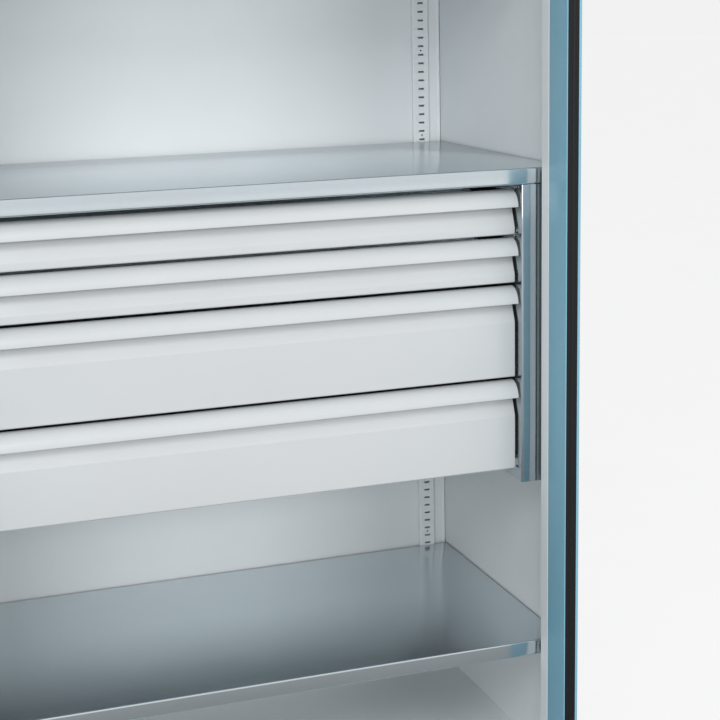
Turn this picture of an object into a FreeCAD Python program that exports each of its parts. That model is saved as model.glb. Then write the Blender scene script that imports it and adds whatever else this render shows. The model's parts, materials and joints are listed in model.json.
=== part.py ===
"""Heavy-duty steel cabinet with galvanised shelves and four drawers on full-extension slides.

Millimetres. +Z is up, +X is the cabinet's right seen from the front, and the front faces -Y.
The origin is on the floor, in the middle of the cabinet's width and depth.
"""

import FreeCAD, Part
import math
import os

os.makedirs("parts", exist_ok=True)
Vector = FreeCAD.Vector

# Overall size
width = 1000.0
depth = 620.0
height = 1950.0

# Carcase of folded sheet steel
carcase_sheet = 1.5
bend_radius = 1.0
lip_width = 45.0
lip_return = 24.5
notch_clearance = 0.3
back_pan_depth = 14.4
joggle_from_wall = 6.0
joggle_depth = 1.2
joggle_bend = 0.5
base_height = 74.0
toe_recess = 30.0
toe_return = 20.0

# Front frame and its seal
frame_inset = 20.0
frame_bar = 25.0
frame_depth = 60.0
frame_sheet = 1.5
frame_edge_radius = 1.2
frame_outer_radius = 4.5
seal_groove_width = 18.0
seal_groove_depth = 4.0
seal_groove_inset = 1.4
seal_clearance = 0.2
seal_bead_width = 8.0
seal_bead_height = 1.5
seal_bead_ratio = 0.66

# Feet
foot_height = 20.0
foot_radius = 22.0
foot_disc = 8.0
foot_stud_radius = 5.0
foot_stud_top = 52.0
foot_inset = 42.0
nut_across_flats = 17.0
nut_height = 8.0
gusset_side = 80.0
gusset_sheet = 3.0
stud_clearance = 0.1

# Slotted uprights
upright_sheet = 1.5
upright_width = 31.0
rear_upright_depth = 8.0
rear_upright_from_wall = 24.0
front_upright_depth = 27.0
front_upright_from_wall = 9.5
slot_width = 10.4
slot_height = 3.4
slot_pitch = 15.0
slot_count = 115
first_slot_above_floor = 45.0
peg_hole_radius = 1.6
peg_hole_slot_count = 10

# Shelves, placed by the slot just above each top face
shelf_sheet = 1.5
shelf_edge = 25.0
shelf_return = 40.0
shelf_bend = 1.2
shelf_side_gap = 2.5
shelf_rear_gap = 1.0
shelf_front_from_lip = 33.0
shelf_below_slot = 4.0
rib_width = 60.0
rib_depth = 20.0
lower_shelf_slot_count = 13
upper_shelf_slot_count = 64
top_shelf_slot_count = 91

# Shelf hooks
hook_sheet = 1.8
hook_ledge = 14.0
hook_side = 2.0
hook_clearance = 0.2
hook_drop_slot_count = 3
hook_tongue = 6.0

# Drawer housing, hung under the upper shelf
housing_sheet = 1.5
flange_setback = 1.0
flange_width = 39.5
flange_to_wall = 33.0
flange_shelf_gap = 0.5
return_depth = 9.0
return_step = 1.0
housing_below_drawers = 14.0
housing_rear_gap = 24.0
top_flange = 20.0
tie_height = 60.0
tie_return = 15.0
screw_radius = 2.5
screw_clearance = 0.1
screw_head_radius = 4.5
screw_head_height = 3.0
screw_from_end = 12.0

# Drawers, from the top down
drawer_heights = [75.0, 75.0, 150.0, 150.0]
first_drawer_below_shelf_top = 32.0
front_side_gap = 2.0
face_behind_flange = 21.5
face_sheet = 1.5
face_bend = 1.6
recess_depth = 12.0
slope_height = 32.0
front_top_gap = 4.0
front_bottom_gap = 3.0
bottom_return = 12.0

# Rolled handle over the whole front
roll_reach = 14.0
roll_height = 25.5
roll_top_gap = 2.5
roll_sheet = 2.0
roll_hem = 5.0
roll_leg = 12.0

# Drawer trays
tray_sheet = 1.2
tray_rear_gap = 8.0
tray_above_bottom = 6.0
tray_below_top = 15.0
tray_hem = 6.0

# Three-part drawer slides
slide_thickness = 19.0
slide_sheet = 1.5
slide_front_gap = 4.0
slide_rear_reach = 3.0
slide_above_bottom = 35.0
slide_half_height = 20.0
ball_radius = 1.2
ball_clearance = 0.3
ball_pitch = 14.0
ball_count = 5
cage_sheet = 0.8
cage_width = 4.6
cage_hole_clearance = 0.1
cage_from_end = 10.0
slide_side_play = 1.0
cabinet_rail_width = 8.5
middle_rail_width = 14.0

# How far a cutting tool runs past the face that it cuts
cut_past = 1.0

# Planes that the pieces share
half_width = width / 2
half_depth = depth / 2
wall_inner = half_width - carcase_sheet
back_inner = half_depth - back_pan_depth
back_raised = back_inner - joggle_depth
frame_front = -half_depth + seal_bead_height
lip_front = frame_front + frame_depth
lip_back = lip_front + carcase_sheet
lip_inner = half_width - lip_width
frame_outer = half_width - frame_inset
frame_inner = frame_outer - frame_bar
top_under = height - carcase_sheet
floor_top = base_height + lip_width
toe_front = lip_front + toe_recess
rear_upright_face = back_inner - rear_upright_depth
front_upright_face = lip_back + front_upright_depth
first_slot = floor_top + first_slot_above_floor
shelf_front = lip_front + shelf_front_from_lip
shelf_back = rear_upright_face - shelf_rear_gap
shelf_side = wall_inner - shelf_side_gap
flange_outer = wall_inner - flange_to_wall
flange_inner = flange_outer - flange_width
drawer_half = flange_inner - front_side_gap
housing_inner = flange_inner + return_step
flange_front = shelf_front + flange_setback
face_front = flange_front + face_behind_flange
recess_front = face_front + recess_depth
recess_back = recess_front + face_sheet
housing_back = back_inner - housing_rear_gap
tray_side = housing_inner - slide_thickness
tray_back = housing_back - tie_return - tray_rear_gap
slide_front = recess_back + slide_front_gap
slide_back = tray_back + slide_rear_reach
slide_play = (ball_radius + ball_clearance) * 2
cabinet_rail_half = slide_half_height
middle_rail_half = cabinet_rail_half - slide_sheet - slide_play
drawer_rail_half = middle_rail_half - slide_sheet - slide_play
cabinet_rail_inner = housing_inner - cabinet_rail_width
middle_rail_outer = housing_inner - slide_sheet - slide_side_play
middle_rail_inner = middle_rail_outer - middle_rail_width
middle_web_inner = cabinet_rail_inner - slide_sheet / 2
drawer_rail_outer = middle_web_inner - slide_side_play


def block(x0, x1, y0, y1, z0, z1):
    """A box between two corners."""
    low = Vector(min(x0, x1), min(y0, y1), min(z0, z1))
    return Part.makeBox(abs(x1 - x0), abs(y1 - y0), abs(z1 - z0), low)


def cylinder(x, y, z0, z1, radius):
    """An upright cylinder."""
    return Part.makeCylinder(radius, z1 - z0, Vector(x, y, z0))


def join(shapes):
    """One solid from pieces that meet or overlap."""
    whole = shapes[0].fuse(shapes[1:]) if len(shapes) > 1 else shapes[0]
    return whole.removeSplitter()


def mirrored(shape):
    """The same piece on the cabinet's other side."""
    return shape.mirror(Vector(0, 0, 0), Vector(1, 0, 0))


def both_sides(shape):
    """A left and a right copy, as separate solids."""
    return [shape, mirrored(shape)]


def save(name, solids):
    """Writes one node, of one solid or a group of separate solids."""
    shape = solids if not isinstance(solids, list) else Part.makeCompound(solids)
    shape.exportStep("parts/" + name + ".step")


def place(u, v, plane):
    """A point of a flat section: plane x holds (y, z), y holds (x, z) and z holds (x, y)."""
    return {"x": Vector(0, u, v), "y": Vector(u, 0, v), "z": Vector(u, v, 0)}[plane]


def unit(a, b):
    """The direction from one point to another."""
    length = math.hypot(b[0] - a[0], b[1] - a[1])
    return ((b[0] - a[0]) / length, (b[1] - a[1]) / length)


def rounded_face(points, radii, plane):
    """A closed outline whose corners have the given radii."""
    count = len(points)
    starts, ends, middles = [], [], []
    for i in range(count):
        before, corner, after = points[i - 1], points[i], points[(i + 1) % count]
        inward, outward = unit(corner, before), unit(corner, after)
        cosine = inward[0] * outward[0] + inward[1] * outward[1]
        half_angle = math.acos(max(-1.0, min(1.0, cosine))) / 2
        radius = radii[i]
        reach = radius / math.tan(half_angle) if radius > 0 else 0.0
        starts.append((corner[0] + inward[0] * reach, corner[1] + inward[1] * reach))
        ends.append((corner[0] + outward[0] * reach, corner[1] + outward[1] * reach))
        if radius > 0:
            toward = (inward[0] + outward[0], inward[1] + outward[1])
            size = math.hypot(*toward)
            away = radius / math.sin(half_angle) - radius
            middle = (corner[0] + toward[0] / size * away, corner[1] + toward[1] / size * away)
            middles.append(middle)
        else:
            middles.append(None)
    edges = []
    for i in range(count):
        if middles[i] is not None:
            arc = [place(*p, plane) for p in (starts[i], middles[i], ends[i])]
            edges.append(Part.Arc(*arc).toShape())
        here, there = place(*ends[i], plane), place(*starts[(i + 1) % count], plane)
        if here.distanceToPoint(there) > 1e-6:
            edges.append(Part.LineSegment(here, there).toShape())
    return Part.Face(Part.Wire(edges))


def push(face, plane, start, end):
    """A section pushed along its own axis from start to end."""
    along = {"x": Vector(1, 0, 0), "y": Vector(0, 1, 0), "z": Vector(0, 0, 1)}[plane]
    moved = face.copy()
    moved.translate(along * start)
    return moved.extrude(along * (end - start))


def folded(path, sheet, bend, plane, start, end):
    """Sheet metal folded along a path, with its thickness on the path's left."""
    count = len(path)
    offset = []
    for i in range(count):
        normals = []
        for a, b in ((i - 1, i), (i, i + 1)):
            if a >= 0 and b < count:
                step = unit(path[a], path[b])
                normals.append((-step[1], step[0]))
        if len(normals) == 1:
            shift = (normals[0][0] * sheet, normals[0][1] * sheet)
        else:
            (ax, ay), (bx, by) = normals
            scale = sheet / (1 + ax * bx + ay * by)
            shift = ((ax + bx) * scale, (ay + by) * scale)
        offset.append((path[i][0] + shift[0], path[i][1] + shift[1]))
    near, far = [0.0] * count, [0.0] * count
    for i in range(1, count - 1):
        first, second = unit(path[i - 1], path[i]), unit(path[i], path[i + 1])
        turns_left = first[0] * second[1] - first[1] * second[0] > 0
        near[i] = bend + sheet if turns_left else bend
        far[i] = bend if turns_left else bend + sheet
    face = rounded_face(path + offset[::-1], near + far[::-1], plane)
    return push(face, plane, start, end)


def side_wall():
    """The right wall, with its front lip and return, and a shorter skirt at the base."""
    path = [
        (lip_inner, lip_front + lip_return),
        (lip_inner, lip_front),
        (half_width, lip_front),
        (half_width, half_depth),
    ]
    upper = folded(path, carcase_sheet, bend_radius, "z", base_height, top_under)
    skirt = block(wall_inner, half_width, toe_front, half_depth, foot_height, base_height)
    return join([upper, skirt])


def back_panel():
    """A shallow pan that closes the back, with its rim turned outwards."""
    near_edge = wall_inner - joggle_from_wall
    far_edge = near_edge + joggle_depth
    path = [
        (-wall_inner, half_depth),
        (-wall_inner, back_raised),
        (-far_edge, back_raised),
        (-near_edge, back_inner),
        (near_edge, back_inner),
        (far_edge, back_raised),
        (wall_inner, back_raised),
        (wall_inner, half_depth),
    ]
    pan = folded(path, carcase_sheet, joggle_bend, "z", foot_height, top_under)
    rims = []
    for low in (foot_height, top_under - carcase_sheet):
        rims.append(block(-wall_inner, wall_inner, back_inner, half_depth, low, low + carcase_sheet))
    return join([pan] + rims)


def top_panel():
    """The lid, with a front lip that hangs between the two walls' lips."""
    lid = block(-half_width, half_width, lip_front, half_depth, top_under, height)
    low = height - lip_width
    path = [
        (lip_front + lip_return * 2, height),
        (lip_front, height),
        (lip_front, low),
        (lip_front + lip_return, low),
    ]
    lip = folded(path, carcase_sheet, bend_radius, "x", -lip_inner, lip_inner)
    corner = block(-lip_inner, lip_inner, lip_front, lip_front + lip_return, top_under, height)
    return join([lid.cut(corner), lip])


def floor_panel():
    """The cabinet's floor, notched round the walls' returns, with its front lip on the plinth."""
    low = floor_top - carcase_sheet
    start = lip_back + bend_radius
    plate = block(-wall_inner, wall_inner, start, back_raised, low, floor_top)
    notch = block(
        lip_inner,
        lip_inner + carcase_sheet + notch_clearance,
        lip_front,
        lip_front + lip_return + notch_clearance,
        low - cut_past,
        floor_top + cut_past,
    )
    plate = plate.cut(Part.makeCompound(both_sides(notch)))
    path = [
        (lip_front + lip_return * 2, floor_top),
        (lip_front, floor_top),
        (lip_front, base_height),
        (toe_front + toe_return, base_height),
    ]
    lip = folded(path, carcase_sheet, bend_radius, "x", -lip_inner, lip_inner)
    return join([plate, lip])


def front_plinth():
    """The recessed toe board under the floor's front lip."""
    path = [
        (toe_front + toe_return, base_height),
        (toe_front, base_height),
        (toe_front, foot_height),
        (toe_front + toe_return, foot_height),
    ]
    return folded(path, carcase_sheet, bend_radius, "x", -wall_inner, wall_inner)


foot_x = wall_inner - foot_inset
foot_places = [
    (sx * foot_x, y) for sx in (-1, 1) for y in (toe_front + foot_inset, back_inner - foot_inset)
]
gusset_low = foot_height + toe_return / 2


def feet():
    """Levelling feet: a pad and a threaded stud each."""
    solids = []
    for x, y in foot_places:
        pad = cylinder(x, y, 0, foot_disc, foot_radius)
        stud = cylinder(x, y, foot_disc, foot_stud_top, foot_stud_radius)
        solids.append(join([pad, stud]))
    return solids


def foot_nuts():
    """Lock nuts that sit on the gussets."""
    radius = nut_across_flats / math.sqrt(3)
    low = gusset_low + gusset_sheet
    solids = []
    for x, y in foot_places:
        points = []
        for k in range(6):
            turn = math.radians(60 * k)
            points.append(Vector(x + radius * math.cos(turn), y + radius * math.sin(turn), low))
        nut = Part.Face(Part.makePolygon(points + points[:1])).extrude(Vector(0, 0, nut_height))
        reach = low + nut_height + cut_past
        hole = cylinder(x, y, low - cut_past, reach, foot_stud_radius + stud_clearance)
        solids.append(nut.cut(hole))
    return solids


def base_gussets():
    """Corner plates inside the base that carry the feet."""
    solids = []
    for x, y in foot_places:
        side = 1 if x > 0 else -1
        rear = y > 0
        y0 = back_raised - gusset_side if rear else toe_front + carcase_sheet
        plate = block(
            side * (wall_inner - gusset_side),
            side * wall_inner,
            y0,
            y0 + gusset_side,
            gusset_low,
            gusset_low + gusset_sheet,
        )
        reach = gusset_low + gusset_sheet + cut_past
        hole = cylinder(x, y, gusset_low - cut_past, reach, foot_stud_radius + stud_clearance)
        solids.append(plate.cut(hole))
    return solids


def bar_section(to_plane, plane):
    """The frame bar's hollow section. u runs from its inner to its outer side."""
    groove_0, groove_1 = seal_groove_inset, seal_groove_inset + seal_groove_width
    groove_floor = frame_front + seal_groove_depth
    outline = [
        (0, lip_front),
        (0, frame_front),
        (groove_0, frame_front),
        (groove_0, groove_floor),
        (groove_1, groove_floor),
        (groove_1, frame_front),
        (frame_bar, frame_front),
        (frame_bar, lip_front),
    ]
    edge = min(frame_edge_radius, seal_groove_inset / 2)
    radii = [frame_edge_radius, edge, 0, 0, 0, 0, frame_outer_radius, frame_edge_radius]
    outer = rounded_face([to_plane(*p) for p in outline], radii, plane)
    hollow = [
        (frame_sheet, lip_front - frame_sheet),
        (frame_sheet, groove_floor + frame_sheet),
        (frame_bar - frame_sheet, groove_floor + frame_sheet),
        (frame_bar - frame_sheet, lip_front - frame_sheet),
    ]
    inner = rounded_face([to_plane(*p) for p in hollow], [0.0] * len(hollow), plane)
    return outer.cut(inner).Faces[0]


def seal_section(to_plane, plane):
    """The rubber strip in the groove, with one raised bead."""
    u0 = seal_groove_inset + seal_clearance
    u1 = seal_groove_inset + seal_groove_width - seal_clearance
    floor = frame_front + seal_groove_depth
    centre = u0 + (u1 - u0) * seal_bead_ratio
    left, right = centre - seal_bead_width / 2, centre + seal_bead_width / 2
    points = [(u0, floor), (u0, frame_front), (left, frame_front)]
    points += [(right, frame_front), (u1, frame_front), (u1, floor)]
    points = [place(*to_plane(*p), plane) for p in points]
    peak = place(*to_plane(centre, frame_front - seal_bead_height), plane)
    edges = [Part.LineSegment(points[0], points[1]).toShape()]
    edges.append(Part.LineSegment(points[1], points[2]).toShape())
    edges.append(Part.Arc(points[2], peak, points[3]).toShape())
    for a, b in ((3, 4), (4, 5), (5, 0)):
        edges.append(Part.LineSegment(points[a], points[b]).toShape())
    return Part.Face(Part.Wire(edges))


frame_low = base_height + frame_inset
frame_high = height - frame_inset


def stile_place(u, v):
    """The right stile's section, in x and y."""
    return (frame_inner + u, v)


def top_rail_place(u, v):
    """The top rail's section, in y and z."""
    return (v, frame_high - frame_bar + u)


def bottom_rail_place(u, v):
    """The bottom rail's section, in y and z."""
    return (v, frame_low + frame_bar - u)


def frame_stile():
    """The right upright bar of the front frame."""
    return push(bar_section(stile_place, "z"), "z", frame_low, frame_high)


def frame_rail(to_plane):
    """A level bar between the two stiles."""
    return push(bar_section(to_plane, "x"), "x", -frame_inner, frame_inner)


def seal_strips():
    """Four strips: two along the stiles and two along the rails."""
    post = push(seal_section(stile_place, "z"), "z", frame_low, frame_high)
    strips = both_sides(post)
    for to_plane in (top_rail_place, bottom_rail_place):
        strips.append(push(seal_section(to_plane, "x"), "x", -frame_inner, frame_inner))
    return strips


rear_upright_outer = wall_inner - rear_upright_from_wall
rear_upright_middle = rear_upright_outer - upright_width / 2
front_upright_outer = wall_inner - front_upright_from_wall
front_upright_middle = front_upright_outer - upright_width / 2


def slot_level(index):
    """The middle height of a slot, counted from the lowest."""
    return first_slot + index * slot_pitch


def upright(outer, foot, face):
    """A slotted channel. Its face looks along y, away from the wall it stands on."""
    inner = outer - upright_width
    path = [(inner, foot), (inner, face), (outer, face), (outer, foot)]
    if face > foot:
        path = path[::-1]
    channel = folded(path, upright_sheet, bend_radius, "z", floor_top, top_under)
    middle = (inner + outer) / 2
    cuts = []
    for index in range(slot_count):
        level = slot_level(index)
        x0, x1 = middle - slot_width / 2, middle + slot_width / 2
        reach = upright_sheet * 2
        cuts.append(
            block(x0, x1, face - reach, face + reach, level - slot_height / 2, level + slot_height / 2)
        )
        if index % peg_hole_slot_count == peg_hole_slot_count // 2:
            hole = Part.makeCylinder(
                peg_hole_radius,
                reach * 2,
                Vector(middle, face - reach, level - slot_pitch / 2),
                Vector(0, 1, 0),
            )
            cuts.append(hole)
    return channel.cut(Part.makeCompound(cuts))


def shelf_top(slot):
    """The height of a shelf's top face."""
    return slot_level(slot) - shelf_below_slot


def shelf(slot, screw_places=()):
    """A galvanised tray turned upside down, with returns at front and rear and a rib below."""
    top = shelf_top(slot)
    low = top - shelf_edge
    path = [
        (shelf_back - shelf_return, low),
        (shelf_back, low),
        (shelf_back, top),
        (shelf_front, top),
        (shelf_front, low),
        (shelf_front + shelf_return, low),
    ]
    body = folded(path, shelf_sheet, shelf_bend, "x", -shelf_side, shelf_side)
    ends = []
    for side in (-1, 1):
        ends.append(
            block(
                side * (shelf_side - shelf_sheet),
                side * shelf_side,
                shelf_front + shelf_sheet,
                shelf_back - shelf_sheet,
                low,
                top - shelf_sheet,
            )
        )
    middle = (shelf_front + shelf_back) / 2
    under = top - shelf_sheet
    rib_path = [
        (middle - rib_width / 2, under),
        (middle - rib_width / 2, under - rib_depth),
        (middle + rib_width / 2, under - rib_depth),
        (middle + rib_width / 2, under),
    ]
    rib_end = shelf_side - shelf_sheet
    rib = folded(rib_path, shelf_sheet, shelf_bend, "x", -rib_end, rib_end)
    whole = join([body, rib] + ends)
    for x, y in screw_places:
        reach = low + shelf_sheet + cut_past
        hole = cylinder(x, y, low - cut_past, reach, screw_radius + screw_clearance)
        whole = whole.cut(hole)
    return whole


def hook(slot, middle, face, inward):
    """A bracket whose tongue sits in a slot. Its ledge carries the shelf. inward is +1 or -1."""
    low = shelf_top(slot) - shelf_edge
    level = slot_level(slot - hook_drop_slot_count)
    half = slot_width / 2 - hook_clearance
    plate_near = face + inward * hook_clearance
    plate_far = plate_near + inward * hook_sheet
    ledge_end = plate_near + inward * hook_ledge
    tongue_end = face - inward * hook_tongue
    tongue_half = slot_height / 2 - hook_clearance
    tongue = block(
        middle - half, middle + half, tongue_end, plate_far, level - tongue_half, level + tongue_half
    )
    wide = half + hook_side
    plate = block(
        middle - wide, middle + wide, plate_near, plate_far, level - tongue_half - hook_side, low
    )
    ledge = block(middle - wide, middle + wide, plate_near, ledge_end, low - hook_sheet, low)
    return join([tongue, plate, ledge])


def shelf_hooks(slot):
    """Two hooks at the rear uprights and two at the front ones."""
    rear = hook(slot, rear_upright_middle, rear_upright_face, -1)
    front = hook(slot, front_upright_middle, front_upright_face, 1)
    return both_sides(rear) + both_sides(front)


cover_low = shelf_top(upper_shelf_slot_count) - shelf_edge
drawers_top = shelf_top(upper_shelf_slot_count) - first_drawer_below_shelf_top
drawers_bottom = drawers_top - sum(drawer_heights)
housing_low = drawers_bottom - housing_below_drawers
screw_x = housing_inner + housing_sheet + top_flange / 2
screw_ys = (
    shelf_front + shelf_return - screw_from_end,
    housing_back - screw_from_end,
)
screw_places = [(side * screw_x, y) for side in (-1, 1) for y in screw_ys]


def housing_side():
    """The right side plate, its front flange with a stepped return, and a flange along its top."""
    plate = block(
        housing_inner,
        housing_inner + housing_sheet,
        flange_front + housing_sheet,
        housing_back,
        housing_low,
        cover_low - flange_shelf_gap,
    )
    path = [
        (flange_inner, flange_front + return_depth),
        (flange_inner, flange_front),
        (flange_outer, flange_front),
    ]
    flange = folded(
        path, housing_sheet, bend_radius, "z", housing_low, cover_low - flange_shelf_gap
    )
    hanger = block(
        housing_inner,
        housing_inner + housing_sheet + top_flange,
        flange_front + housing_sheet,
        housing_back,
        cover_low - housing_sheet,
        cover_low,
    )
    whole = join([plate, flange, hanger])
    for x, y in screw_places:
        if x > 0:
            under = cover_low - housing_sheet - cut_past
            hole = cylinder(x, y, under, cover_low + cut_past, screw_radius + screw_clearance)
            whole = whole.cut(hole)
    return whole


def housing_rear_tie():
    """A channel across the back of the housing, between its two sides."""
    low = drawers_bottom
    path = [
        (housing_back - tie_return, low + tie_height),
        (housing_back, low + tie_height),
        (housing_back, low),
        (housing_back - tie_return, low),
    ]
    return folded(path[::-1], housing_sheet, bend_radius, "x", -housing_inner, housing_inner)


def housing_screws():
    """Screws that hang the housing's top flanges on the upper shelf's returns."""
    solids = []
    for x, y in screw_places:
        under = cover_low - housing_sheet
        head = cylinder(x, y, under - screw_head_height, under, screw_head_radius)
        shank = cylinder(x, y, under, cover_low + shelf_sheet * 2, screw_radius)
        solids.append(join([head, shank]))
    return solids


def drawer_front(top, bottom):
    """The drawer's face: a recess behind the handle, a slope forwards and a level bottom return."""
    knee = top - roll_top_gap - roll_height
    low = bottom + front_bottom_gap
    path = [
        (recess_front, top - front_top_gap),
        (recess_front, knee),
        (face_front, knee - slope_height),
        (face_front, low),
        (face_front + bottom_return, low),
    ]
    return folded(path, face_sheet, face_bend, "x", -drawer_half, drawer_half)


def drawer_handle(top):
    """A rolled grip, open below, that hooks over the face's upper edge."""
    high = top - roll_top_gap
    low = high - roll_height
    reach = recess_front - (face_front - roll_reach)
    half_turn = math.radians(45)

    def on_roll(inset, turn):
        """A point on the roll's outer curve, or inset from it."""
        across = (reach - inset) * math.sin(turn)
        upward = (roll_height - inset) * math.cos(turn)
        return Vector(0, recess_front - across, low + upward)

    quarter = math.radians(90)
    inner_start = math.asin(roll_sheet / (reach - roll_sheet))
    lip_tip = Vector(0, recess_front - reach + roll_hem, low)
    lip_top = Vector(0, recess_front - reach + roll_hem, low + roll_sheet)
    inner_end = math.acos(roll_sheet / (roll_height - roll_sheet))
    leg_low = high - roll_leg
    points = [
        on_roll(0, 0),
        on_roll(0, quarter),
        lip_tip,
        lip_top,
        on_roll(roll_sheet, inner_end),
        on_roll(roll_sheet, inner_start),
        Vector(0, recess_front - roll_sheet, leg_low),
        Vector(0, recess_front, leg_low),
    ]
    edges = [
        Part.Arc(points[0], on_roll(0, half_turn), points[1]).toShape(),
        Part.LineSegment(points[1], points[2]).toShape(),
        Part.LineSegment(points[2], points[3]).toShape(),
        Part.LineSegment(points[3], points[4]).toShape(),
        Part.Arc(points[4], on_roll(roll_sheet, half_turn), points[5]).toShape(),
        Part.LineSegment(points[5], points[6]).toShape(),
        Part.LineSegment(points[6], points[7]).toShape(),
        Part.LineSegment(points[7], points[0]).toShape(),
    ]
    return push(Part.Face(Part.Wire(edges)), "x", -drawer_half, drawer_half)


def drawer_tray(top, bottom):
    """An open box with its upper edges turned in."""
    high = top - tray_below_top
    low = bottom + tray_above_bottom
    path = [
        (-tray_side + tray_hem, high),
        (-tray_side, high),
        (-tray_side, low),
        (tray_side, low),
        (tray_side, high),
        (tray_side - tray_hem, high),
    ]
    trough = folded(path, tray_sheet, bend_radius, "y", recess_back, tray_back)
    inside = tray_side - tray_sheet / 2
    walls = []
    for y in (recess_back, tray_back - tray_sheet):
        walls.append(block(-inside, inside, y, y + tray_sheet, low + tray_sheet / 2, high))
    return join([trough] + walls)


def cabinet_rail(level):
    """The right fixed rail, a channel that opens towards the drawer."""
    path = [
        (cabinet_rail_inner, level - cabinet_rail_half),
        (housing_inner, level - cabinet_rail_half),
        (housing_inner, level + cabinet_rail_half),
        (cabinet_rail_inner, level + cabinet_rail_half),
    ]
    return folded(path, slide_sheet, bend_radius, "y", slide_front, slide_back)


def middle_rail(level):
    """The right travelling rail, which runs inside the fixed one and round the drawer's own."""
    low, high = level - middle_rail_half, level + middle_rail_half
    web_outer = middle_web_inner + slide_sheet
    pieces = [block(middle_web_inner, web_outer, slide_front, slide_back, low, high)]
    for z in (low, high - slide_sheet):
        pieces.append(
            block(middle_rail_inner, middle_rail_outer, slide_front, slide_back, z, z + slide_sheet)
        )
    return join(pieces)


def drawer_rail(level):
    """The right rail on the tray's side."""
    path = [
        (drawer_rail_outer, level + drawer_rail_half),
        (tray_side, level + drawer_rail_half),
        (tray_side, level - drawer_rail_half),
        (drawer_rail_outer, level - drawer_rail_half),
    ]
    return folded(path, slide_sheet, bend_radius, "y", slide_front, slide_back)


def ball_rows(level):
    """Where a slide's four rows of balls run: x, z and the first ball's y."""
    outer_x = (cabinet_rail_inner + middle_rail_outer) / 2
    inner_x = (middle_rail_inner + drawer_rail_outer) / 2
    outer_z = middle_rail_half + slide_play / 2
    inner_z = drawer_rail_half + slide_play / 2
    cage_length = ball_pitch * ball_count
    front_y = slide_front + cage_from_end + ball_pitch / 2
    rear_y = slide_back - cage_from_end - cage_length + ball_pitch / 2
    rows = []
    for way in (-1, 1):
        rows.append((outer_x, level + way * outer_z, rear_y))
        rows.append((inner_x, level + way * inner_z, front_y))
    return rows


def bearing_balls(level):
    """The balls between the rails of the right slide."""
    balls = []
    for x, z, start in ball_rows(level):
        for index in range(ball_count):
            balls.append(Part.makeSphere(ball_radius, Vector(x, start + index * ball_pitch, z)))
    return balls


def ball_cages(level):
    """Flat strips that keep the balls of each row apart."""
    cages = []
    for x, z, start in ball_rows(level):
        y0 = start - ball_pitch / 2
        y1 = y0 + ball_pitch * ball_count
        half = cage_sheet / 2
        strip = block(x - cage_width / 2, x + cage_width / 2, y0, y1, z - half, z + half)
        for index in range(ball_count):
            y = start + index * ball_pitch
            radius = ball_radius + cage_hole_clearance
            strip = strip.cut(cylinder(x, y, z - cage_sheet, z + cage_sheet, radius))
        cages.append(strip)
    return cages


def drawers():
    """Saves every drawer with its slides, from the top one down."""
    top = drawers_top
    for number, tall in enumerate(drawer_heights, 1):
        bottom = top - tall
        level = bottom + slide_above_bottom
        name = "drawer_" + str(number)
        save(name + "_front", drawer_front(top, bottom))
        save(name + "_handle", drawer_handle(top))
        save(name + "_tray", drawer_tray(top, bottom))
        save(name + "_inner_rails", both_sides(drawer_rail(level)))
        save(name + "_middle_rails", both_sides(middle_rail(level)))
        save(name + "_cabinet_rails", both_sides(cabinet_rail(level)))
        balls = bearing_balls(level)
        cages = ball_cages(level)
        save(name + "_bearing_balls", balls + [mirrored(ball) for ball in balls])
        save(name + "_ball_cages", cages + [mirrored(cage) for cage in cages])
        top = bottom


right_wall = side_wall()
save("side_wall_right", right_wall)
save("side_wall_left", mirrored(right_wall))
save("back_panel", back_panel())
save("top_panel", top_panel())
save("floor_panel", floor_panel())
save("front_plinth", front_plinth())
save("levelling_feet", feet())
save("foot_lock_nuts", foot_nuts())
save("base_gussets", base_gussets())

right_stile = frame_stile()
save("frame_stile_right", right_stile)
save("frame_stile_left", mirrored(right_stile))
save("frame_top_rail", frame_rail(top_rail_place))
save("frame_bottom_rail", frame_rail(bottom_rail_place))
save("door_seal", seal_strips())

rear_upright = upright(rear_upright_outer, back_inner, rear_upright_face)
front_upright = upright(front_upright_outer, lip_back, front_upright_face)
save("rear_upright_right", rear_upright)
save("rear_upright_left", mirrored(rear_upright))
save("front_upright_right", front_upright)
save("front_upright_left", mirrored(front_upright))

save("lower_shelf", shelf(lower_shelf_slot_count))
save("upper_shelf", shelf(upper_shelf_slot_count, screw_places))
save("top_shelf", shelf(top_shelf_slot_count))
save("lower_shelf_hooks", shelf_hooks(lower_shelf_slot_count))
save("upper_shelf_hooks", shelf_hooks(upper_shelf_slot_count))
save("top_shelf_hooks", shelf_hooks(top_shelf_slot_count))

right_side = housing_side()
save("housing_side_right", right_side)
save("housing_side_left", mirrored(right_side))
save("housing_rear_tie", housing_rear_tie())
save("housing_screws", housing_screws())

drawers()
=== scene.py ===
"""Looks for a steel cabinet with galvanised shelves and a block of four drawers.

Everything is in metres in the cabinet's own frame: +Z up, +X to its right, and the front faces -Y.
"""

import json
import math

import bmesh
import bpy
from mathutils import Matrix, Vector


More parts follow.
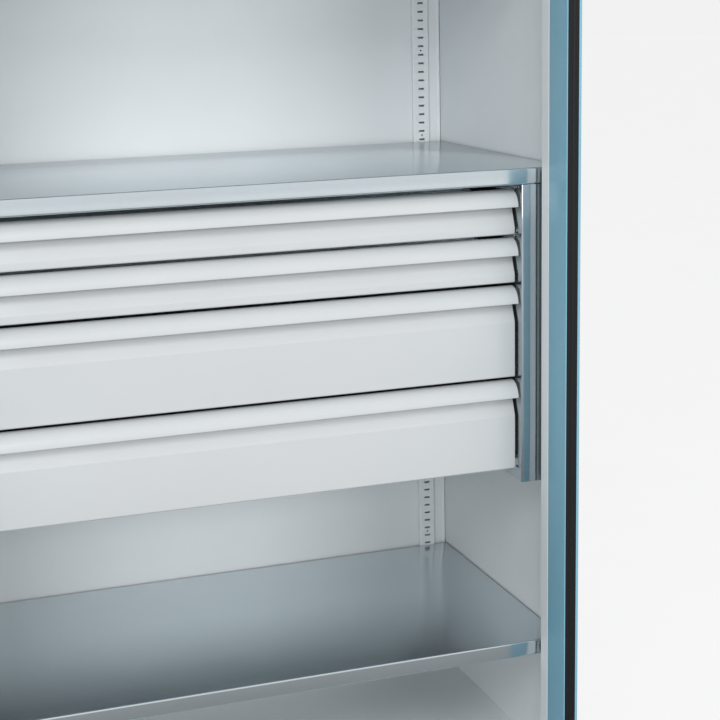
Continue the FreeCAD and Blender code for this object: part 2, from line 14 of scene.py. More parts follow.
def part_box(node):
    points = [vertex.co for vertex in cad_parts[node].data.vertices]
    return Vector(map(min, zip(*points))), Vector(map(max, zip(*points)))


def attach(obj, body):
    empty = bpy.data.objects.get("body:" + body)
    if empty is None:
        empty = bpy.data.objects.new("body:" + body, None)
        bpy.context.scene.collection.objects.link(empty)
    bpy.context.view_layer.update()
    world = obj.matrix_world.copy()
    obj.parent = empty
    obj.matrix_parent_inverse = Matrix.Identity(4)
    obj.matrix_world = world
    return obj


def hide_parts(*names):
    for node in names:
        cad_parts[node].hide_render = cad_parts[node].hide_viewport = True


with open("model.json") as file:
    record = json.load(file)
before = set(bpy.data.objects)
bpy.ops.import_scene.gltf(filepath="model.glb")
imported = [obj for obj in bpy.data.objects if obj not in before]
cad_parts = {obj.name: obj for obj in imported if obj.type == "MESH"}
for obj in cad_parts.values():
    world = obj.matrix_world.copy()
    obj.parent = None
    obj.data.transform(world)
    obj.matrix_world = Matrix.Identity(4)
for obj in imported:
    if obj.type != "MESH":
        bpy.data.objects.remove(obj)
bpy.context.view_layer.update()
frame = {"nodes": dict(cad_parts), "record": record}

MM = 0.001

# What repeats
DRAWERS = (1, 2, 3, 4)
SHELVES = ("lower_shelf", "upper_shelf", "top_shelf")

# The camera, fitted to the photograph's edge lines: angles in degrees, lens and sensor in mm
CAMERA_AT = (-0.6034, -2.4627, 1.3829)
CAMERA_YAW = 18.767
CAMERA_PITCH = 12.709
CAMERA_ROLL = -1.329
CAMERA_LENS = 81.2
CAMERA_SENSOR = 36.0
CAMERA_CLIP_END = 100.0

# Drawer fronts and handles
PAINTED_SHEET = 1.5 * MM
FACE_BEND = 1.6 * MM
SLOPE_HEIGHT = 32.0 * MM
BOTTOM_RETURN = 12.0 * MM
HANDLE_SHEET = 2.0 * MM
HANDLE_HEM = 5.0 * MM
HANDLE_LEG = 12.0 * MM
HANDLE_EDGE = 0.45 * MM

# Shelves
SHELF_SHEET = 1.5 * MM
SHELF_BEND = 1.2 * MM
SHELF_RETURN = 40.0 * MM
RIB_WIDTH = 60.0 * MM
RIB_DEPTH = 20.0 * MM

# The blue front frame and the rubber seal in its groove
GROOVE_INSET = 1.4 * MM
GROOVE_WIDTH = 18.0 * MM
GROOVE_DEPTH = 4.0 * MM
GROOVE_LIP_RADIUS = 0.3 * MM
FRAME_EDGE_RADIUS = 1.2 * MM
FRAME_OUTER_RADIUS = 4.5 * MM
SEAL_CLEARANCE = 0.2 * MM
BEAD_WIDTH = 8.0 * MM
BEAD_RATIO = 0.66

# The drawers' housing
FOLD_BEND = 1.0 * MM
FLANGE_RETURN = 9.0 * MM
FLANGE_STEP = 1.0 * MM
FLANGE_SHELF_GAP = 0.5 * MM
HANGER_WIDTH = 20.0 * MM

# Fineness of the meshes, with angles in degrees
CUT_EDGE = 0.25 * MM
CUT_SEGMENTS = 2
CUT_PROFILE = 0.6
CUT_ANGLE = 50
SMOOTH_ANGLE = 32
BEND_STEPS = 6
ROLL_STEPS = 28
BEAD_STEPS = 14
LONG_SPANS = 8
FLANGE_SPANS = 6
RIB_SPANS = 4

# Colours, as linear red, green, blue and alpha
# The walls' grey is written lighter and the drawers' grey darker, though both are one paint:
# painted light on the walls and painted shade on the drawer fronts
GREY_WITH_PAINTED_LIGHT = (0.745, 0.780, 0.797, 1.0)
DRAWER_GREY_WITH_PAINTED_SHADE = (0.535, 0.556, 0.567, 1.0)
BLUE = (0.200, 0.430, 0.550, 1.0)
ZINC = (0.600, 0.668, 0.700, 1.0)
# Painted shade: the housing's zinc is written darker than the shelves' zinc, which dims its
# reflections
HOUSING_ZINC_WITH_PAINTED_SHADE = (0.415, 0.475, 0.505, 1.0)
STEEL = (0.47, 0.50, 0.53, 1.0)
BRIGHT_ZINC = (0.62, 0.64, 0.65, 1.0)
BLACK = (0.007, 0.0075, 0.009, 1.0)
# Painted shade: the near black that narrow gaps and slots are painted with
GAP_PAINTED_SHADE = (0.012, 0.013, 0.015, 1.0)

# Painted shade in narrow gaps and slots, which darkens the colour: the share of open sky that is
# black, the share that is clear, the reach
GAP_SHADE_REACH = 22.0 * MM
PAINT_GAP_SHADE = (0.04, 0.32, GAP_SHADE_REACH)
DRAWER_GAP_SHADE = (0.08, 0.34, 9.0 * MM)
ZINC_GAP_SHADE = (0.05, 0.28, GAP_SHADE_REACH)
HOUSING_GAP_SHADE = (0.0, 0.04, GAP_SHADE_REACH)
GAP_SHADE_SAMPLES = 8

# Lighter edges, partly rubbed paint and partly a painted highlight, and on zinc only a painted
# highlight: how wide they are, how light they are, and from which to which turn they show
PAINT_WEAR_AND_HIGHLIGHT_RADIUS = 0.9 * MM
ZINC_EDGE_HIGHLIGHT_RADIUS = 0.8 * MM
PAINT_WEAR_AND_HIGHLIGHT = 1.18
BLUE_WEAR_AND_HIGHLIGHT = 1.03
ZINC_EDGE_HIGHLIGHT = 1.12
EDGE_FULL = 0.75
EDGE_NONE = 0.995
EDGE_SAMPLES = 4
ZINC_METALLIC = 0.92
RUBBER_SPECULAR = 0.28

# The lamps and the world
WORLD_STRENGTH = 0.64
WORLD_COLOUR = (0.985, 0.995, 1.0, 1.0)
WORLD_SEEN = (0.885, 0.885, 0.885, 1.0)
LAMP_AIM = (0.1, -0.2, 0.95)
LAMP_SIZE = (2.4, 2.0)

# Each lamp's name, place and power, and whether metal shows it: the right ones would glare there
LAMPS = (
    ("left", (-2.92, -5.88, 1.86), 114.0, True),
    ("right", (2.41, -6.20, 2.10), 128.0, False),
    ("left_high", (-1.97, -5.31, 4.39), 132.0, True),
    ("far_right", (4.38, -4.96, 2.08), 30.0, False),
)

# The floor: the greys that are seen and that light the object, and its glow to the camera.
# Metal sees the darker grey up to FLOOR_NEAR from the cabinet, and the pale one past FLOOR_FAR.
FLOOR_REACH = 40.0
FLOOR_SEEN = 0.16
FLOOR_GRAIN = 0.005
FLOOR_ROUGHNESS = 0.9
FLOOR_GLOW = 0.79
FLOOR_BOUNCE = 0.30
FLOOR_NEAR = 2.0
FLOOR_FAR = 5.5

# The colour sockets of a Mix node, whose names repeat
MIX_FIRST, MIX_SECOND, MIX_RESULT = 6, 7, 2


def new_nodes(name):
    """A material with its node tree and its main shader."""
    material = bpy.data.materials.new(name)
    material.use_nodes = True
    tree = material.node_tree
    return material, tree, tree.nodes["Principled BSDF"]


def node(tree, kind, **values):
    """A shader node with its settings and its unlinked inputs."""
    made = tree.nodes.new(kind)
    for key, value in values.items():
        if hasattr(made, key):
            setattr(made, key, value)
        else:
            made.inputs[key.replace("_", " ")].default_value = value
    return made


def maths(tree, operation, first, second):
    """The result of two values."""
    made = node(tree, "ShaderNodeMath", operation=operation)
    tree.links.new(first, made.inputs[0])
    tree.links.new(second, made.inputs[1])
    return made.outputs["Value"]


def noise(tree, place, scale, detail=3.0, stretch=(1.0, 1.0, 1.0)):
    """Noise in the cabinet's own metres, stretched along its axes."""
    mapping = node(tree, "ShaderNodeMapping", Scale=stretch)
    tree.links.new(place.outputs["Object"], mapping.inputs["Vector"])
    made = node(tree, "ShaderNodeTexNoise", Scale=scale, Detail=detail)
    tree.links.new(mapping.outputs["Vector"], made.inputs["Vector"])
    return made.outputs["Fac"]


def spread(tree, value, low, high, start=0.3, end=0.7):
    """Maps a value between start and end to a range."""
    made = node(tree, "ShaderNodeMapRange")
    made.inputs["From Min"].default_value = start
    made.inputs["From Max"].default_value = end
    made.inputs["To Min"].default_value = low
    made.inputs["To Max"].default_value = high
    tree.links.new(value, made.inputs["Value"])
    return made.outputs["Result"]


def blend(tree, share, first, second):
    """Mixes two colours by a share. A colour is a tuple or an output."""
    made = node(tree, "ShaderNodeMix", data_type="RGBA")
    tree.links.new(share, made.inputs["Factor"])
    for socket, colour in ((made.inputs[MIX_FIRST], first), (made.inputs[MIX_SECOND], second)):
        if isinstance(colour, tuple):
            socket.default_value = colour
        else:
            tree.links.new(colour, socket)
    return made.outputs[MIX_RESULT]


def mixed(tree, share, first, second):
    """Mixes two shaders by a share."""
    made = node(tree, "ShaderNodeMixShader")
    tree.links.new(share, made.inputs["Fac"])
    tree.links.new(first, made.inputs[1])
    tree.links.new(second, made.inputs[2])
    return made.outputs["Shader"]


def edges(tree, radius):
    """Where the surface turns an outside or inside corner: 0 on flats, up to 1 at edges."""
    bevel = node(tree, "ShaderNodeBevel", samples=EDGE_SAMPLES, Radius=radius)
    geometry = node(tree, "ShaderNodeNewGeometry")
    dot = node(tree, "ShaderNodeVectorMath", operation="DOT_PRODUCT")
    tree.links.new(bevel.outputs["Normal"], dot.inputs[0])
    tree.links.new(geometry.outputs["Normal"], dot.inputs[1])
    return spread(tree, dot.outputs["Value"], 1.0, 0.0, EDGE_FULL, EDGE_NONE)


def painted_gap_shade(tree, colour, dark, clear, reach):
    """A colour with painted shade: it goes nearly black in narrow gaps and slots, between two
    shares of open sky.
    """
    open_sky = node(tree, "ShaderNodeAmbientOcclusion", samples=GAP_SHADE_SAMPLES, Distance=reach)
    share = spread(tree, open_sky.outputs["AO"], 0.0, 1.0, dark, clear)
    return blend(tree, share, GAP_PAINTED_SHADE, colour)


def bump(tree, heights, shader):
    """Adds (value, strength, distance) bumps one after another."""
    normal = None
    for value, strength, distance in heights:
        made = node(tree, "ShaderNodeBump", Strength=strength, Distance=distance)
        tree.links.new(value, made.inputs["Height"])
        if normal is not None:
            tree.links.new(normal, made.inputs["Normal"])
        normal = made.outputs["Normal"]
    tree.links.new(normal, shader.inputs["Normal"])


def tint(colour, factor):
    """A colour made darker or lighter, with full alpha."""
    return tuple(min(1.0, c * factor) for c in colour[:3]) + (1.0,)


def paint(name, colour, roughness, peel=0.05, gaps=PAINT_GAP_SHADE, wear_and_highlight=PAINT_WEAR_AND_HIGHLIGHT):
    """Powder coat: slight mottling, orange peel, thin lighter edges that are partly rubbed paint
    and partly a painted highlight, and a few fine rub marks.
    """
    material, tree, shader = new_nodes(name)
    place = node(tree, "ShaderNodeTexCoord")
    mottle = spread(tree, noise(tree, place, scale=5.0, detail=4.0), low=0.0, high=1.0)
    base = blend(tree, mottle, tint(colour, 0.975), tint(colour, 1.01))

    scuffs = noise(tree, place, scale=70.0, detail=5.0)
    patchy = spread(tree, scuffs, low=0.05, high=0.5, start=0.35, end=0.65)
    # Edges lighter in patches: partly rubbed paint, partly a painted highlight
    worn_and_lit = maths(tree, "MULTIPLY", edges(tree, PAINT_WEAR_AND_HIGHLIGHT_RADIUS), patchy)
    base = blend(tree, worn_and_lit, base, tint(colour, wear_and_highlight))
    # Painted shade: the colour goes nearly black in narrow gaps and slots
    tree.links.new(painted_gap_shade(tree, base, *gaps), shader.inputs["Base Color"])

    rub = noise(tree, place, scale=30.0, detail=6.0, stretch=(1.0, 1.0, 7.0))
    sheen = spread(tree, rub, low=roughness - 0.04, high=roughness + 0.05)
    tree.links.new(sheen, shader.inputs["Roughness"])

    fine = noise(tree, place, scale=650.0, detail=2.0)
    wide = noise(tree, place, scale=7.0, detail=1.0)
    bump(tree, [(fine, peel, 0.2 * MM), (wide, 0.02, 2.0 * MM)], shader)
    return material


def galvanised(name, colour, roughness, gaps=ZINC_GAP_SHADE):
    """Zinc coated sheet: faint spangle, rolling streaks, a satin sheen and a painted highlight
    along every edge.
    """
    material, tree, shader = new_nodes(name)
    shader.inputs["Metallic"].default_value = ZINC_METALLIC
    place = node(tree, "ShaderNodeTexCoord")
    cells = node(tree, "ShaderNodeTexVoronoi", Scale=90.0)
    tree.links.new(place.outputs["Object"], cells.inputs["Vector"])
    cloud = noise(tree, place, scale=6.0, detail=4.0)
    streak = noise(tree, place, scale=60.0, detail=3.0, stretch=(0.08, 1.0, 1.0))

    spangle = spread(tree, cells.outputs["Color"], low=0.0, high=1.0, start=0.0, end=1.0)
    base = blend(tree, spangle, tint(colour, 0.985), tint(colour, 1.012))
    base = blend(tree, spread(tree, cloud, low=0.0, high=0.5), base, tint(colour, 0.965))
    # Painted highlight: the zinc is lighter along every edge
    base = blend(tree, edges(tree, ZINC_EDGE_HIGHLIGHT_RADIUS), base, tint(colour, ZINC_EDGE_HIGHLIGHT))
    # Painted shade: the colour goes nearly black in narrow gaps and slots
    tree.links.new(painted_gap_shade(tree, base, *gaps), shader.inputs["Base Color"])

    sheen = spread(tree, cloud, low=roughness - 0.025, high=roughness + 0.02)
    rough = maths(tree, "ADD", sheen, spread(tree, streak, low=-0.012, high=0.012))
    tree.links.new(rough, shader.inputs["Roughness"])

    wide = noise(tree, place, scale=2.5, detail=1.0)
    bump(tree, [(streak, 0.03, 0.05 * MM), (wide, 0.05, 1.5 * MM)], shader)
    return material


def rubber(name, colour):
    """Extruded rubber: faint lines up and down, a little dust and a dull sheen."""
    material, tree, shader = new_nodes(name)
    shader.inputs["Specular IOR Level"].default_value = RUBBER_SPECULAR
    place = node(tree, "ShaderNodeTexCoord")
    lines = noise(tree, place, scale=900.0, detail=3.0, stretch=(1.0, 1.0, 0.02))
    dust = noise(tree, place, scale=120.0, detail=5.0)
    dusty = spread(tree, dust, low=0.0, high=1.0, start=0.45, end=0.75)
    base = blend(tree, dusty, tint(colour, 0.92), tint(colour, 1.3))
    tree.links.new(base, shader.inputs["Base Color"])
    tree.links.new(spread(tree, dust, low=0.5, high=0.62), shader.inputs["Roughness"])
    bump(tree, [(lines, 0.12, 0.15 * MM)], shader)
    return material


materials = {
    "grey_paint": paint("grey_paint", GREY_WITH_PAINTED_LIGHT, 0.42),
    "drawer_paint": paint("drawer_paint", DRAWER_GREY_WITH_PAINTED_SHADE, 0.36, peel=0.04, gaps=DRAWER_GAP_SHADE),
    "blue_paint": paint("blue_paint", BLUE, 0.40, wear_and_highlight=BLUE_WEAR_AND_HIGHLIGHT),
    "galvanised": galvanised("galvanised", ZINC, 0.17),
    # Painted shade: a darker copy of the shelves' zinc
    "housing_zinc": galvanised("housing_zinc", HOUSING_ZINC_WITH_PAINTED_SHADE, 0.13, gaps=HOUSING_GAP_SHADE),
    "slide_steel": galvanised("slide_steel", STEEL, 0.30),
    "zinc_plate": galvanised("zinc_plate", BRIGHT_ZINC, 0.28),
    "foot_zinc": galvanised("foot_zinc", BRIGHT_ZINC, 0.36),
    "seal_rubber": rubber("seal_rubber", BLACK),
}

for part in frame["record"]["subparts"]:
    mesh = frame["nodes"][part["node"]].data
    mesh.materials.clear()
    mesh.materials.append(materials[part["material_slot"]])


def unit(a, b):
    """The direction from one point to another."""
    length = math.hypot(b[0] - a[0], b[1] - a[1])
    return ((b[0] - a[0]) / length, (b[1] - a[1]) / length)


def rounded(points, radii, steps):
    """An outline with each corner rounded to its radius."""
    count = len(points)
    outline = []
    for i in range(count):
        before, corner, after = points[i - 1], points[i], points[(i + 1) % count]
        if radii[i] <= 0:
            outline.append(corner)
            continue
        inward, outward = unit(corner, before), unit(corner, after)
        cosine = inward[0] * outward[0] + inward[1] * outward[1]
        half = math.acos(max(-1.0, min(1.0, cosine))) / 2
        reach = radii[i] / math.tan(half)
        away = radii[i] / math.sin(half)
        toward = (inward[0] + outward[0], inward[1] + outward[1])
        size = math.hypot(*toward)
        centre = (corner[0] + toward[0] / size * away, corner[1] + toward[1] / size * away)
        start = (corner[0] + inward[0] * reach, corner[1] + inward[1] * reach)
        end = (corner[0] + outward[0] * reach, corner[1] + outward[1] * reach)
        first = math.atan2(start[1] - centre[1], start[0] - centre[0])
        last = math.atan2(end[1] - centre[1], end[0] - centre[0])
        turn = (last - first + math.pi) % (2 * math.pi) - math.pi
        for k in range(steps + 1):
            angle = first + turn * k / steps
            x = centre[0] + radii[i] * math.cos(angle)
            y = centre[1] + radii[i] * math.sin(angle)
            outline.append((x, y))
    return outline


def folded(path, sheet, bend):
    """The outline of a sheet folded along a path, with its thickness on the path's left."""
    count = len(path)
    offset = []
    near, far = [0.0] * count, [0.0] * count
    for i in range(count):
        steps = [unit(path[a], path[a + 1]) for a in (i - 1, i) if 0 <= a < count - 1]
        normals = [(-step[1], step[0]) for step in steps]
        if len(normals) == 1:
            shift = (normals[0][0] * sheet, normals[0][1] * sheet)
        else:
            (ax, ay), (bx, by) = normals
            scale = sheet / (1 + ax * bx + ay * by)
            shift = ((ax + bx) * scale, (ay + by) * scale)
            turns_left = steps[0][0] * steps[1][1] - steps[0][1] * steps[1][0] > 0
            near[i] = bend + sheet if turns_left else bend
            far[i] = bend if turns_left else bend + sheet
        offset.append((path[i][0] + shift[0], path[i][1] + shift[1]))
    return rounded(list(path) + offset[::-1], near + far[::-1], BEND_STEPS)


PLACES = {
    "x": lambda u, v, along: (along, u, v),
    "y": lambda u, v, along: (u, along, v),
    "z": lambda u, v, along: (u, v, along),
}


def extruded(outline, axis, start, end, spans=1):
    """A closed mesh: an outline pushed along an axis, with its length cut into spans."""
    mesh = bmesh.new()
    rings = []
    for k in range(spans + 1):
        along = start + (end - start) * k / spans
        rings.append([mesh.verts.new(PLACES[axis](u, v, along)) for u, v in outline])
    for low, high in zip(rings, rings[1:]):
        for i in range(len(outline)):
            j = (i + 1) % len(outline)
            mesh.faces.new((low[i], low[j], high[j], high[i]))
    mesh.faces.new(rings[0][::-1])
    mesh.faces.new(rings[-1])
    bmesh.ops.recalc_face_normals(mesh, faces=mesh.faces)
    return mesh


def softened(mesh, width=CUT_EDGE):
    """Rounds the sharp edges a little."""
    least = math.radians(CUT_ANGLE)
    sharp = [e for e in mesh.edges if len(e.link_faces) == 2 and e.calc_face_angle() > least]
    bmesh.ops.bevel(
        mesh,
        geom=sharp,
        offset=width,
        segments=CUT_SEGMENTS,
        profile=CUT_PROFILE,
        affect="EDGES",
        clamp_overlap=True,
    )
    return mesh


def slab(x0, x1, y0, y1, z0, z1):
    """A closed box between two corners."""
    return extruded([(x0, y0), (x1, y0), (x1, y1), (x0, y1)], "z", z0, z1)


def piece(name, meshes, slot, body, *nodes, look=None):
    """One object from closed meshes, which stands for CAD nodes and rides on a body."""
    data = bpy.data.meshes.new(name)
    whole = bmesh.new()
    for mesh in meshes:
        part = bpy.data.meshes.new("part")
        mesh.to_mesh(part)
        mesh.free()
        whole.from_mesh(part)
        bpy.data.meshes.remove(part)
    whole.to_mesh(data)
    whole.free()
    for polygon in data.polygons:
        polygon.use_smooth = True
    data.set_sharp_from_angle(angle=math.radians(SMOOTH_ANGLE))
    data.materials.append(materials[look or slot])
    made = bpy.data.objects.new(name, data)
    bpy.context.scene.collection.objects.link(made)
    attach(made, body)
    if nodes:
        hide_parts(*nodes)
    return made


def drawer_front(number):
    """The face plate: a recess behind the handle, a slope forwards and a bottom return."""
    low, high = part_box(f"drawer_{number}_front")
    handle_low, handle_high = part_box(f"drawer_{number}_handle")
    recess = handle_high.y
    knee = handle_low.z
    path = [
        (recess, high.z),
        (recess, knee),
        (low.y, knee - SLOPE_HEIGHT),
        (low.y, low.z),
        (low.y + BOTTOM_RETURN, low.z),
    ]
    outline = folded(path, PAINTED_SHEET, FACE_BEND)
    plate = softened(extruded(outline, "x", low.x, high.x, LONG_SPANS))
    name = f"drawer_{number}_face_plate"
    return piece(name, [plate], "drawer_paint", f"drawer_{number}", f"drawer_{number}_front")


def drawer_handle(number):
    """The rolled grip, open below, with a hem along its lower edge."""
    low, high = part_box(f"drawer_{number}_handle")
    reach = high.y - low.y
    height = high.z - low.z

    def roll(inset, turn):
        across = (reach - inset) * math.sin(turn)
        return (high.y - across, low.z + (height - inset) * math.cos(turn))

    quarter = math.pi / 2
    outline = [roll(0, quarter * k / ROLL_STEPS) for k in range(ROLL_STEPS + 1)]
    outline.append((low.y + HANDLE_HEM, low.z))
    outline.append((low.y + HANDLE_HEM, low.z + HANDLE_SHEET))
    first = math.acos(HANDLE_SHEET / (height - HANDLE_SHEET))
    last = math.asin(HANDLE_SHEET / (reach - HANDLE_SHEET))
    for k in range(ROLL_STEPS + 1):
        outline.append(roll(HANDLE_SHEET, first + (last - first) * k / ROLL_STEPS))
    outline.append((high.y - HANDLE_SHEET, high.z - HANDLE_LEG))
    outline.append((high.y, high.z - HANDLE_LEG))
    grip = softened(extruded(outline, "x", low.x, high.x, LONG_SPANS), HANDLE_EDGE)
    name = f"drawer_{number}_rolled_grip"
    return piece(name, [grip], "drawer_paint", f"drawer_{number}", f"drawer_{number}_handle")


def shelf(name):
    """A shelf's sheet with its returns, its two end plates and the rib below it."""
    low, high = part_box(name)
    path = [
        (high.y - SHELF_RETURN, low.z),
        (high.y, low.z),
        (high.y, high.z),
        (low.y, high.z),
        (low.y, low.z),
        (low.y + SHELF_RETURN, low.z),
    ]
    outline = folded(path, SHELF_SHEET, SHELF_BEND)
    meshes = [softened(extruded(outline, "x", low.x, high.x, LONG_SPANS))]
    under = high.z - SHELF_SHEET
    front, rear = low.y + SHELF_SHEET, high.y - SHELF_SHEET
    for x in (low.x, high.x - SHELF_SHEET):
        meshes.append(softened(slab(x, x + SHELF_SHEET, front, rear, low.z, under)))
    middle = (low.y + high.y) / 2
    rib = [
        (middle - RIB_WIDTH / 2, under),
        (middle - RIB_WIDTH / 2, under - RIB_DEPTH),
        (middle + RIB_WIDTH / 2, under - RIB_DEPTH),
        (middle + RIB_WIDTH / 2, under),
    ]
    ends = (low.x + SHELF_SHEET, high.x - SHELF_SHEET)
    meshes.append(extruded(folded(rib, SHELF_SHEET, SHELF_BEND), "x", *ends, RIB_SPANS))
    return piece(f"{name}_folded_sheet", meshes, "galvanised", "root", name)


def frame_bar(name, place, axis):
    """A bar of the blue frame, grooved in front. Its section runs from the opening outwards."""
    low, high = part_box(name)
    width = min(high.x - low.x, high.z - low.z)
    groove_end = GROOVE_INSET + GROOVE_WIDTH
    floor = low.y + GROOVE_DEPTH
    corners = [
        ((0.0, high.y), FRAME_EDGE_RADIUS),
        ((0.0, low.y), GROOVE_INSET / 2),
        ((GROOVE_INSET, low.y), 0.0),
        ((GROOVE_INSET, floor), 0.0),
        ((groove_end, floor), 0.0),
        ((groove_end, low.y), GROOVE_LIP_RADIUS),
        ((width, low.y), FRAME_OUTER_RADIUS),
        ((width, high.y), FRAME_EDGE_RADIUS),
    ]
    points, radii = zip(*corners)
    section = [place(u, v, low, high) for u, v in rounded(points, radii, BEND_STEPS)]
    start, end = (low.z, high.z) if axis == "z" else (low.x, high.x)
    bar = extruded(section, axis, start, end, LONG_SPANS)
    return piece(f"{name}_bar", [bar], "blue_paint", "root", name)


def seal_outline(front, floor):
    """The rubber strip's section: u outwards from the opening, v along y, with one raised bead."""
    start = GROOVE_INSET + SEAL_CLEARANCE
    end = GROOVE_INSET + GROOVE_WIDTH - SEAL_CLEARANCE
    bead = start + (end - start) * BEAD_RATIO
    shoulder = floor - GROOVE_DEPTH
    rise = shoulder - front
    outline = [(start, floor), (start, shoulder)]
    for k in range(BEAD_STEPS + 1):
        turn = math.pi * k / BEAD_STEPS
        across = BEAD_WIDTH / 2 * math.cos(turn)
        outline.append((bead - across, shoulder - rise * math.sin(turn)))
    return outline + [(end, shoulder), (end, floor)]


def seal():
    """Four rubber strips in the frame's grooves."""
    low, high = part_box("door_seal")
    stile_low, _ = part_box("frame_stile_right")
    rail_low, rail_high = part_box("frame_top_rail")
    _, sill_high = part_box("frame_bottom_rail")
    outline = seal_outline(low.y, high.y)
    meshes = []
    for side in (-1, 1):
        section = [(side * (stile_low.x + u), v) for u, v in outline]
        meshes.append(extruded(section, "z", low.z, high.z, LONG_SPANS))
    for start, way in ((rail_low.z, 1), (sill_high.z, -1)):
        section = [(v, start + way * u) for u, v in outline]
        meshes.append(extruded(section, "x", rail_low.x, rail_high.x, LONG_SPANS))
    return piece("door_seal_rubber", meshes, "seal_rubber", "root", "door_seal")


def housing_side(name, side):
    """The drawers' side plate, its stepped front flange and the flange that hangs it up."""
    low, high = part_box(name)
    inner, outer = min(abs(low.x), abs(high.x)), max(abs(low.x), abs(high.x))
    front, back = low.y + SHELF_SHEET, high.y
    cover = high.z
    top = cover - FLANGE_SHELF_GAP
    path = [(inner, low.y + FLANGE_RETURN), (inner, low.y), (outer, low.y)]
    flange = [(side * x, y) for x, y in folded(path, SHELF_SHEET, FOLD_BEND)]
    plate = inner + FLANGE_STEP
    plate_outer = plate + SHELF_SHEET
    hanger = plate_outer + HANGER_WIDTH
    meshes = [
        softened(extruded(flange, "z", low.z, top, FLANGE_SPANS)),
        slab(side * plate, side * plate_outer, front, back, low.z, top),
        slab(side * plate, side * hanger, front, back, cover - SHELF_SHEET, cover),
    ]
    return piece(f"{name}_sheet", meshes, "galvanised", "root", name, look="housing_zinc")


for number in DRAWERS:
    drawer_front(number)
    drawer_handle(number)
for name in SHELVES:
    shelf(name)
frame_bar("frame_stile_right", lambda u, v, low, high: (low.x + u, v), "z")
frame_bar("frame_stile_left", lambda u, v, low, high: (high.x - u, v), "z")
frame_bar("frame_top_rail", lambda u, v, low, high: (v, low.z + u), "x")
frame_bar("frame_bottom_rail", lambda u, v, low, high: (v, high.z - u), "x")
seal()
housing_side("housing_side_right", 1)
housing_side("housing_side_left", -1)


def camera():
    """The photograph's camera, which looks down and to the right, with a slight roll."""
    yaw, pitch = math.radians(CAMERA_YAW), math.radians(CAMERA_PITCH)
    roll = math.radians(CAMERA_ROLL)
    level = math.cos(pitch)
    forward = Vector((math.sin(yaw) * level, math.cos(yaw) * level, -math.sin(pitch)))
    right = Vector((math.cos(yaw), -math.sin(yaw), 0.0))
    up = right.cross(forward)
    across = right * math.cos(roll) + up * math.sin(roll)
    above = up * math.cos(roll) - right * math.sin(roll)
    data = bpy.data.cameras.new("camera")
    data.lens = CAMERA_LENS
    data.sensor_width = CAMERA_SENSOR
    data.clip_end = CAMERA_CLIP_END
    made = bpy.data.objects.new("camera", data)
    turn = Matrix((across, above, -forward)).transposed().to_4x4()
    made.matrix_world = Matrix.Translation(CAMERA_AT) @ turn
    bpy.context.scene.collection.objects.link(made)
    bpy.context.scene.camera = made


def softbox(name, at, power, in_metal):
    """A large soft lamp. Without in_metal, metal neither shows it nor is lit by it."""
    data = bpy.data.lights.new(name, "AREA")
    data.shape = "RECTANGLE"
    data.size, data.size_y = LAMP_SIZE
    data.energy = power
    made = bpy.data.objects.new(name, data)
    made.location = at
    made.rotation_euler = (Vector(LAMP_AIM) - Vector(at)).to_track_quat("-Z", "Y").to_euler()
    made.visible_glossy = in_metal
    bpy.context.scene.collection.objects.link(made)


def seen_rays(tree):
    """1 for what the camera sees, straight or in metal and glass, and 0 for the object's light."""
    path = node(tree, "ShaderNodeLightPath")
    total = path.outputs["Is Camera Ray"]
    for other in ("Is Glossy Ray", "Is Transmission Ray"):
        total = maths(tree, "MAXIMUM", total, path.outputs[other])
    return total


def surround():
    """A pale world to look at, and a dimmer one that lights the cabinet."""
    world = bpy.data.worlds.new("studio")
    world.use_nodes = True
    tree = world.node_tree
    tree.nodes.clear()
    output = node(tree, "ShaderNodeOutputWorld")
    seen = node(tree, "ShaderNodeBackground", Color=WORLD_SEEN, Strength=1.0)
    light = node(tree, "ShaderNodeBackground", Color=WORLD_COLOUR, Strength=WORLD_STRENGTH)
    both = mixed(tree, seen_rays(tree), light.outputs["Background"], seen.outputs["Background"])
    tree.links.new(both, output.inputs["Surface"])
    bpy.context.scene.world = world


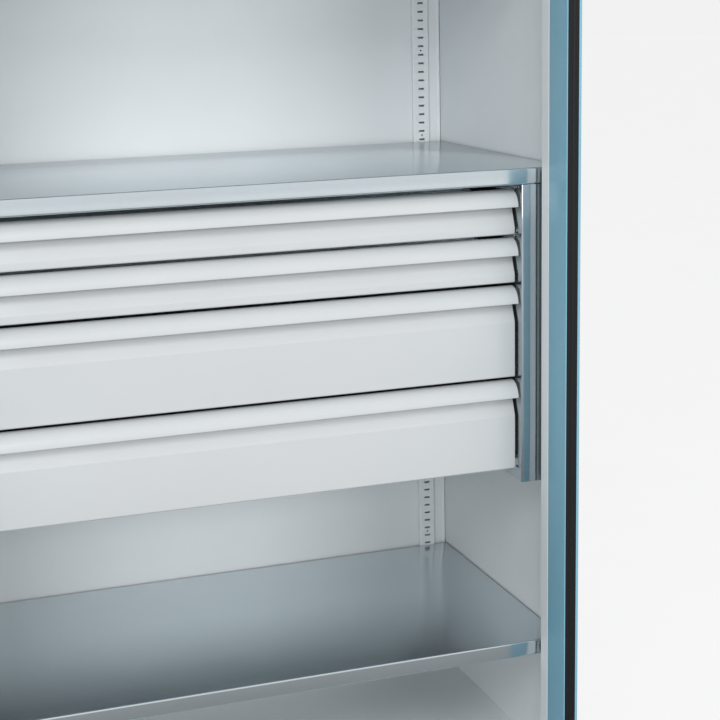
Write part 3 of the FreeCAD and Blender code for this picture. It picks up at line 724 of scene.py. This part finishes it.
def floor_material():
    """A floor that is pale where it is seen, keeps the shadow, and lights the cabinet less."""
    material, tree, shader = new_nodes("studio_floor")
    place = node(tree, "ShaderNodeTexCoord")
    grain = spread(tree, noise(tree, place, scale=3.0, detail=3.0), low=0.0, high=1.0)
    darker = (FLOOR_SEEN - FLOOR_GRAIN,) * 3 + (1.0,)
    lighter = (FLOOR_SEEN + FLOOR_GRAIN,) * 3 + (1.0,)
    tree.links.new(blend(tree, grain, darker, lighter), shader.inputs["Base Color"])
    shader.inputs["Roughness"].default_value = FLOOR_ROUGHNESS
    shader.inputs["Specular IOR Level"].default_value = 0.0
    glow = node(tree, "ShaderNodeEmission", Color=(1.0, 1.0, 1.0, 1.0), Strength=FLOOR_GLOW)
    shown = node(tree, "ShaderNodeAddShader")
    tree.links.new(shader.outputs["BSDF"], shown.inputs[0])
    tree.links.new(glow.outputs["Emission"], shown.inputs[1])
    bounce = node(tree, "ShaderNodeBsdfDiffuse", Color=(FLOOR_BOUNCE,) * 3 + (1.0,))

    away = node(tree, "ShaderNodeVectorMath", operation="LENGTH")
    tree.links.new(place.outputs["Object"], away.inputs[0])
    far = spread(tree, away.outputs["Value"], 0.0, 1.0, FLOOR_NEAR, FLOOR_FAR)
    mirrored = maths(tree, "MULTIPLY", far, seen_rays(tree))
    path = node(tree, "ShaderNodeLightPath")
    pale = maths(tree, "MAXIMUM", path.outputs["Is Camera Ray"], mirrored)
    look = mixed(tree, pale, bounce.outputs["BSDF"], shown.outputs["Shader"])
    tree.links.new(look, tree.nodes["Material Output"].inputs["Surface"])
    return material


def studio_floor():
    """A wide square floor under the cabinet."""
    data = bpy.data.meshes.new("studio_floor")
    signs = ((-1, -1), (1, -1), (1, 1), (-1, 1))
    corners = [(x * FLOOR_REACH, y * FLOOR_REACH, 0.0) for x, y in signs]
    data.from_pydata(corners, [], [(0, 1, 2, 3)])
    data.materials.append(floor_material())
    floor = bpy.data.objects.new("studio_floor", data)
    bpy.context.scene.collection.objects.link(floor)


surround()
studio_floor()
for lamp in LAMPS:
    softbox(*lamp)
camera()

bpy.context.scene.view_settings.view_transform = "Standard"
